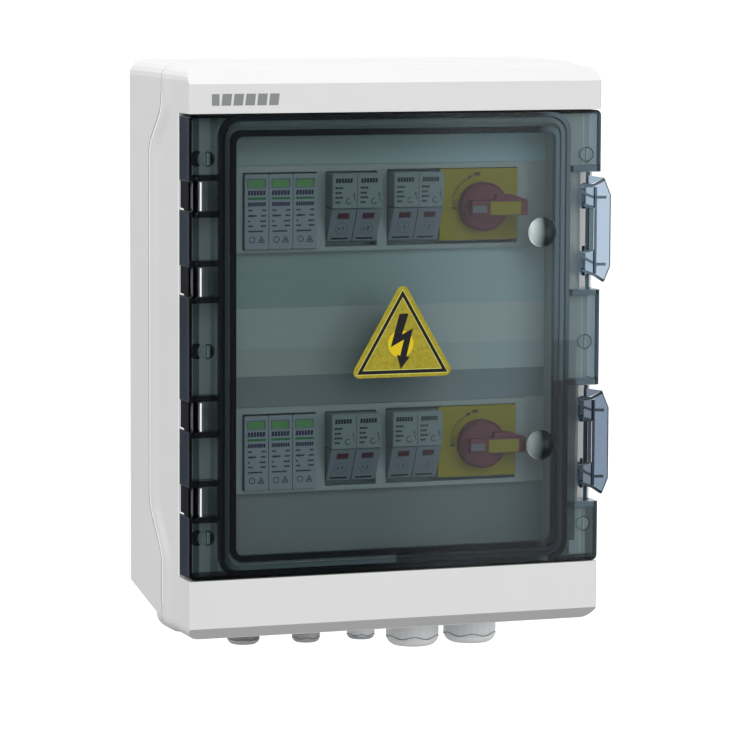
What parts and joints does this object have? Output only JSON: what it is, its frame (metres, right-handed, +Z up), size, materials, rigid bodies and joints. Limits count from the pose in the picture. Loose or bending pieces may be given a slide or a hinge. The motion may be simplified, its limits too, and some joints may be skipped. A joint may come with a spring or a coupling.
{
  "type": "dc combiner box",
  "caption": "Wall-mounted DC combiner box with a hinged smoked door over DIN-rail surge protectors, fuse carriers and rotary isolators, and cable glands underneath.",
  "frame": {"origin": "on the flat back that rests against the wall, on the vertical centre line, level with the middle of the cover", "axes": "+Y into the wall, +Z up, +X to the right of someone facing the door"},
  "size_m": [0.3083, 0.1412, 0.4198],
  "materials": {
    "enclosure_grey": "satin light grey, injection moulded",
    "smoked_clear": "glossy smoke-tinted clear",
    "latch_smoke": "glossy smoke-tinted clear",
    "seal_rubber": "matt foam",
    "screw_grey": "satin",
    "rail_zinc": "zinc plated",
    "device_grey": "satin",
    "device_light": "satin",
    "panel_yellow": "satin",
    "handle_red": "satin",
    "gland_nylon": "satin",
    "earth_brass": "machined",
    "sign_yellow": "printed film"
  },
  "bodies": {
    "enclosure": {"base": "enclosure_grey", "cover": "enclosure_grey", "cover_seal": "seal_rubber", "earth_bar": "earth_brass", "hinge_clip_1": "smoked_clear", "hinge_clip_2": "smoked_clear", "hinge_clip_3": "smoked_clear", "hinge_clip_4": "smoked_clear", "cover_screw_left_top": "screw_grey", "cover_screw_right_top": "screw_grey", "cover_screw_left_middle": "screw_grey", "cover_screw_right_middle": "screw_grey", "cover_screw_left_bottom": "screw_grey", "cover_screw_right_bottom": "screw_grey", "din_rail_upper": "rail_zinc", "din_rail_lower": "rail_zinc", "spd_base_upper": "device_grey", "spd_base_lower": "device_grey", "fuse_base_upper_1": "device_grey", "fuse_base_upper_2": "device_grey", "fuse_base_lower_1": "device_grey", "fuse_base_lower_2": "device_grey", "isolator_body_upper": "device_grey", "isolator_body_lower": "device_grey", "isolator_plate_upper": "panel_yellow", "isolator_plate_lower": "panel_yellow", "gland_body_1": "gland_nylon", "gland_body_2": "gland_nylon", "gland_body_3": "gland_nylon", "gland_body_4": "gland_nylon", "gland_body_5": "gland_nylon", "gland_nut_1": "gland_nylon", "gland_nut_2": "gland_nylon", "gland_nut_3": "gland_nylon", "gland_nut_4": "gland_nylon", "gland_nut_5": "gland_nylon"},
    "door": {"door": "smoked_clear", "door_seal": "seal_rubber", "warning_sign": "sign_yellow"},
    "latch_upper": {"latch_upper": "latch_smoke"},
    "latch_lower": {"latch_lower": "latch_smoke"},
    "fuse_carrier_upper_1": {"fuse_carrier_upper_1": "device_light"},
    "fuse_carrier_upper_2": {"fuse_carrier_upper_2": "device_light"},
    "fuse_carrier_upper_3": {"fuse_carrier_upper_3": "device_light"},
    "fuse_carrier_upper_4": {"fuse_carrier_upper_4": "device_light"},
    "fuse_carrier_lower_1": {"fuse_carrier_lower_1": "device_light"},
    "fuse_carrier_lower_2": {"fuse_carrier_lower_2": "device_light"},
    "fuse_carrier_lower_3": {"fuse_carrier_lower_3": "device_light"},
    "fuse_carrier_lower_4": {"fuse_carrier_lower_4": "device_light"},
    "spd_plug_upper_1": {"spd_plug_upper_1": "device_light"},
    "spd_plug_upper_2": {"spd_plug_upper_2": "device_light"},
    "spd_plug_upper_3": {"spd_plug_upper_3": "device_light"},
    "spd_plug_lower_1": {"spd_plug_lower_1": "device_light"},
    "spd_plug_lower_2": {"spd_plug_lower_2": "device_light"},
    "spd_plug_lower_3": {"spd_plug_lower_3": "device_light"},
    "isolator_handle_upper": {"isolator_handle_upper": "handle_red"},
    "isolator_handle_lower": {"isolator_handle_lower": "handle_red"}
  },
  "joints": [
    {"name": "door_hinge", "type": "hinge", "parent": "enclosure", "child": "door", "pos_m": [-0.145, -0.1348, 0.00645], "axis": [0, 0, -1], "range_deg": [0, 110]},
    {"name": "latch_upper_hinge", "type": "hinge", "parent": "door", "child": "latch_upper", "pos_m": [0.1419, -0.135, 0.0806], "axis": [0, 0, -1], "range_deg": [0, 75]},
    {"name": "latch_lower_hinge", "type": "hinge", "parent": "door", "child": "latch_lower", "pos_m": [0.1419, -0.135, -0.0687], "axis": [0, 0, -1], "range_deg": [0, 75]},
    {"name": "fuse_upper_1_tilt", "type": "hinge", "parent": "enclosure", "child": "fuse_carrier_upper_1", "pos_m": [-0.03495, -0.1055, 0.0755], "axis": [1, 0, 0], "range_deg": [0, 25]},
    {"name": "fuse_upper_2_tilt", "type": "hinge", "parent": "enclosure", "child": "fuse_carrier_upper_2", "pos_m": [-0.01665, -0.1055, 0.0755], "axis": [1, 0, 0], "range_deg": [0, 25]},
    {"name": "fuse_upper_3_tilt", "type": "hinge", "parent": "enclosure", "child": "fuse_carrier_upper_3", "pos_m": [0.00995, -0.1055, 0.0755], "axis": [1, 0, 0], "range_deg": [0, 25]},
    {"name": "fuse_upper_4_tilt", "type": "hinge", "parent": "enclosure", "child": "fuse_carrier_upper_4", "pos_m": [0.02825, -0.1055, 0.0755], "axis": [1, 0, 0], "range_deg": [0, 25]},
    {"name": "fuse_lower_1_tilt", "type": "hinge", "parent": "enclosure", "child": "fuse_carrier_lower_1", "pos_m": [-0.03495, -0.1055, -0.0905], "axis": [1, 0, 0], "range_deg": [0, 25]},
    {"name": "fuse_lower_2_tilt", "type": "hinge", "parent": "enclosure", "child": "fuse_carrier_lower_2", "pos_m": [-0.01665, -0.1055, -0.0905], "axis": [1, 0, 0], "range_deg": [0, 25]},
    {"name": "fuse_lower_3_tilt", "type": "hinge", "parent": "enclosure", "child": "fuse_carrier_lower_3", "pos_m": [0.00995, -0.1055, -0.0905], "axis": [1, 0, 0], "range_deg": [0, 25]},
    {"name": "fuse_lower_4_tilt", "type": "hinge", "parent": "enclosure", "child": "fuse_carrier_lower_4", "pos_m": [0.02825, -0.1055, -0.0905], "axis": [1, 0, 0], "range_deg": [0, 25]},
    {"name": "spd_upper_1_pull", "type": "slide", "parent": "enclosure", "child": "spd_plug_upper_1", "axis": [0, -1, 0], "range_m": [0, 0.0165]},
    {"name": "spd_upper_2_pull", "type": "slide", "parent": "enclosure", "child": "spd_plug_upper_2", "axis": [0, -1, 0], "range_m": [0, 0.0165]},
    {"name": "spd_upper_3_pull", "type": "slide", "parent": "enclosure", "child": "spd_plug_upper_3", "axis": [0, -1, 0], "range_m": [0, 0.0165]},
    {"name": "spd_lower_1_pull", "type": "slide", "parent": "enclosure", "child": "spd_plug_lower_1", "axis": [0, -1, 0], "range_m": [0, 0.0165]},
    {"name": "spd_lower_2_pull", "type": "slide", "parent": "enclosure", "child": "spd_plug_lower_2", "axis": [0, -1, 0], "range_m": [0, 0.0165]},
    {"name": "spd_lower_3_pull", "type": "slide", "parent": "enclosure", "child": "spd_plug_lower_3", "axis": [0, -1, 0], "range_m": [0, 0.0165]},
    {"name": "isolator_upper_turn", "type": "hinge", "parent": "enclosure", "child": "isolator_handle_upper", "pos_m": [0.0687, -0.1168, 0.0979], "axis": [0, 1, 0], "range_deg": [0, 90]},
    {"name": "isolator_lower_turn", "type": "hinge", "parent": "enclosure", "child": "isolator_handle_lower", "pos_m": [0.0687, -0.1168, -0.0681], "axis": [0, 1, 0], "range_deg": [0, 90]}
  ]
}
